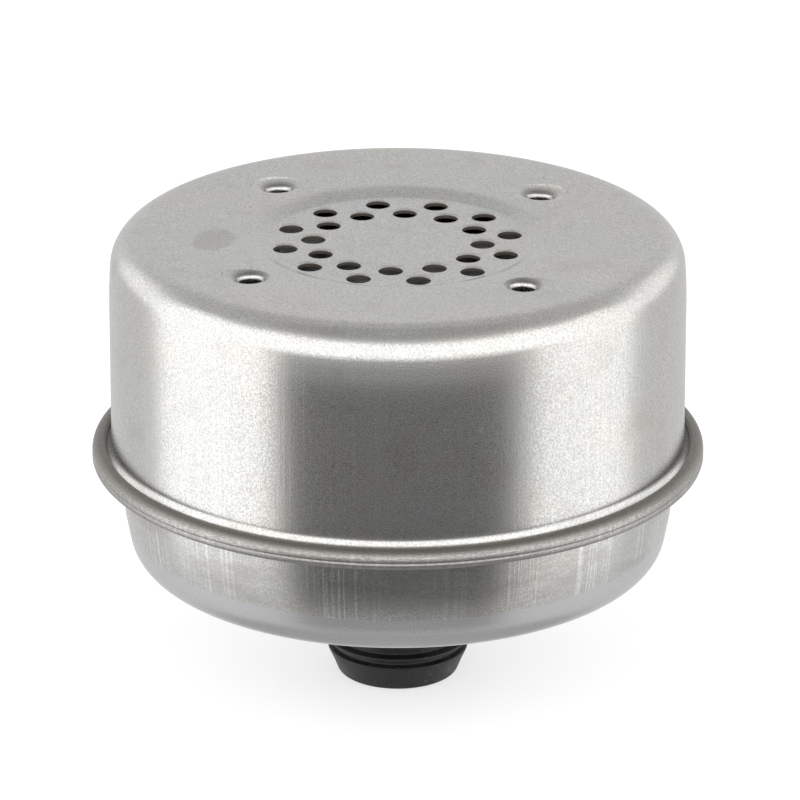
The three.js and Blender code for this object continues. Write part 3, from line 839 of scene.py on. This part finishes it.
def foam_sleeve():
    """Foam sleeve with soft edges, a little crowned on its outside."""
    inner = radius_of("element_top_cap") + FOAM_CLEARANCE
    belly = FOAM_RADIUS - FOAM_CROWN
    outline = rounded(
        (inner, FOAM_BOTTOM, FOAM_INNER_EDGE),
        (belly, FOAM_BOTTOM, FOAM_OUTER_EDGE),
        (FOAM_RADIUS, (FOAM_BOTTOM + FOAM_TOP) / 2, FOAM_CROWN_BEND),
        (belly, FOAM_TOP, FOAM_OUTER_EDGE),
        (inner, FOAM_TOP, FOAM_INNER_EDGE),
        (inner, FOAM_BOTTOM + FOAM_START),
    )
    return revolved("foam_sleeve", divided(outline, FOAM_STRETCH), SMALL_SEGMENTS)


# ---------- Putting the housing together ----------

steel_shell = sheet_steel("steel_shell", streaks=0.12, finish=shell_finish)
steel_pan = sheet_steel("steel_pan", streaks=0.75, finish=pan_finish)
plate = plated_steel("plated_parts", shade=0.55, roughness=0.34)
wire = plated_steel("spring_wire", shade=0.35, roughness=0.3)
neck_material = rubber("neck_rubber", shade=0.005, dust=0.25)
seal_material = rubber("seal_rubber", shade=0.02, dust=0.1)
paper = filter_paper("filter_paper")
foam = open_foam("open_foam")
compound = potting_compound("potting_compound")

for piece, material, slot, node in (
    (upper_shell(), steel_shell, "drawn_steel", "upper_shell"),
    (lower_pan(), steel_pan, "drawn_steel", "lower_pan"),
    (rubber_neck(), neck_material, "neck_rubber", "neck_grommet"),
    (outlet_tube(), plate, "plated_steel", "outlet_tube"),
    (foam_sleeve(), foam, "grey_foam", "foam_precleaner"),
):
    smooth(piece)
    give(piece, material)
    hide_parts(node)
    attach(piece, "root")

# Nodes that no piece replaces keep the CAD's mesh and take the material of their slot
SLOT_MATERIALS = {
    "plated_steel": plate,
    "spring_steel": wire,
    "seal_rubber": seal_material,
    "pleat_paper": paper,
    "plastisol": compound,
}
for part in frame["record"]["subparts"]:
    node = frame["nodes"][part["node"]]
    if part["material_slot"] in SLOT_MATERIALS and not node.hide_render:
        node.data.materials.clear()
        node.data.materials.append(SLOT_MATERIALS[part["material_slot"]])

# ---------- Studio ----------


FLOOR_SIZE = 8  # metres


def floor():
    mesh = bmesh.new()
    bmesh.ops.create_grid(mesh, x_segments=1, y_segments=1, size=FLOOR_SIZE / 2)
    made = new_object("floor", mesh)
    made.data.materials.append(floor_material("floor_paper"))
    made.visible_glossy = False
    made.visible_shadow = False


# A panel's side is in degrees round from the camera's side, its low and high edges are in degrees
# above the horizon, and its softness is half the width of its faded edge in degrees.
Panel = namedtuple("Panel", "side half_width low high softness brightness")
ROOM_BRIGHTNESS = 0.76
PANELS = (
    Panel(side=0, half_width=180, low=60, high=90, softness=10, brightness=0.46),  # ceiling
    Panel(side=180, half_width=100, low=38, high=60, softness=8, brightness=0.6),  # high, behind
    Panel(side=0, half_width=180, low=-90, high=-50, softness=7, brightness=0.5),  # floor
    Panel(side=-112, half_width=34, low=2, high=32, softness=8, brightness=1.35),  # behind, left
    Panel(side=112, half_width=34, low=2, high=32, softness=8, brightness=1.3),  # behind, right
    Panel(side=-79, half_width=30, low=-29, high=44, softness=4, brightness=1.74),  # left
    Panel(side=80.5, half_width=25, low=-29, high=44, softness=3.5, brightness=1.55),  # right
    Panel(side=0, half_width=75, low=-1, high=50, softness=6, brightness=1.75),  # front
    Panel(side=0, half_width=48, low=-43, high=-12, softness=8, brightness=0.09),  # dark, front
)


def studio():
    """A room with soft panels, as a sky that the steel reflects and that lights the floor."""
    world = bpy.data.worlds.new("studio")
    bpy.context.scene.world = world
    s = Shader(world)
    direction = s.tree.nodes.new("ShaderNodeTexCoord").outputs["Generated"]
    x, y, z = s.parts(direction)
    round_axis = s.math("DEGREES", s.math("ARCTAN2", y, x))
    from_camera = s.math("ADD", round_axis, 90 - CAMERA_AZIMUTH)
    elevation = s.math("DEGREES", s.math("ARCSINE", z))
    light = grey(ROOM_BRIGHTNESS)
    for panel in PANELS:
        soft = panel.softness
        turned = s.math("WRAP", s.math("SUBTRACT", from_camera, panel.side), 180, -180)
        across = s.ramp(
            s.math("ABSOLUTE", turned), panel.half_width + soft, panel.half_width - soft
        )
        above = s.ramp(elevation, panel.low - soft, panel.low + soft)
        below = s.ramp(elevation, panel.high + soft, panel.high - soft)
        inside = s.math("MULTIPLY", across, s.math("MULTIPLY", above, below))
        light = s.mix(inside, light, grey(panel.brightness))
    background = s.node("ShaderNodeBackground", Color=light, Strength=1.0)
    output = s.tree.nodes.new("ShaderNodeOutputWorld")
    s.tree.links.new(background.outputs[0], output.inputs[0])


def camera():
    """A long lens at the photograph's angle, aimed at the housing's axis."""
    azimuth = math.radians(CAMERA_AZIMUTH)
    elevation = math.radians(CAMERA_ELEVATION)
    back = Vector(
        (
            math.sin(azimuth) * math.cos(elevation),
            -math.cos(azimuth) * math.cos(elevation),
            math.sin(elevation),
        )
    )
    data = bpy.data.cameras.new("camera")
    data.lens = CAMERA_LENS
    data.sensor_width = SENSOR_WIDTH
    data.shift_x = AXIS_SHIFT
    data.clip_end = FAR_CLIP * MM
    made = bpy.data.objects.new("camera", data)
    made.location = Vector((0, 0, AIM_HEIGHT * MM)) + back * CAMERA_DISTANCE * MM
    made.rotation_euler = (-back).to_track_quat("-Z", "Y").to_euler()
    bpy.context.scene.collection.objects.link(made)
    bpy.context.scene.camera = made


floor()
studio()
camera()
bpy.context.scene.view_settings.view_transform = "Standard"
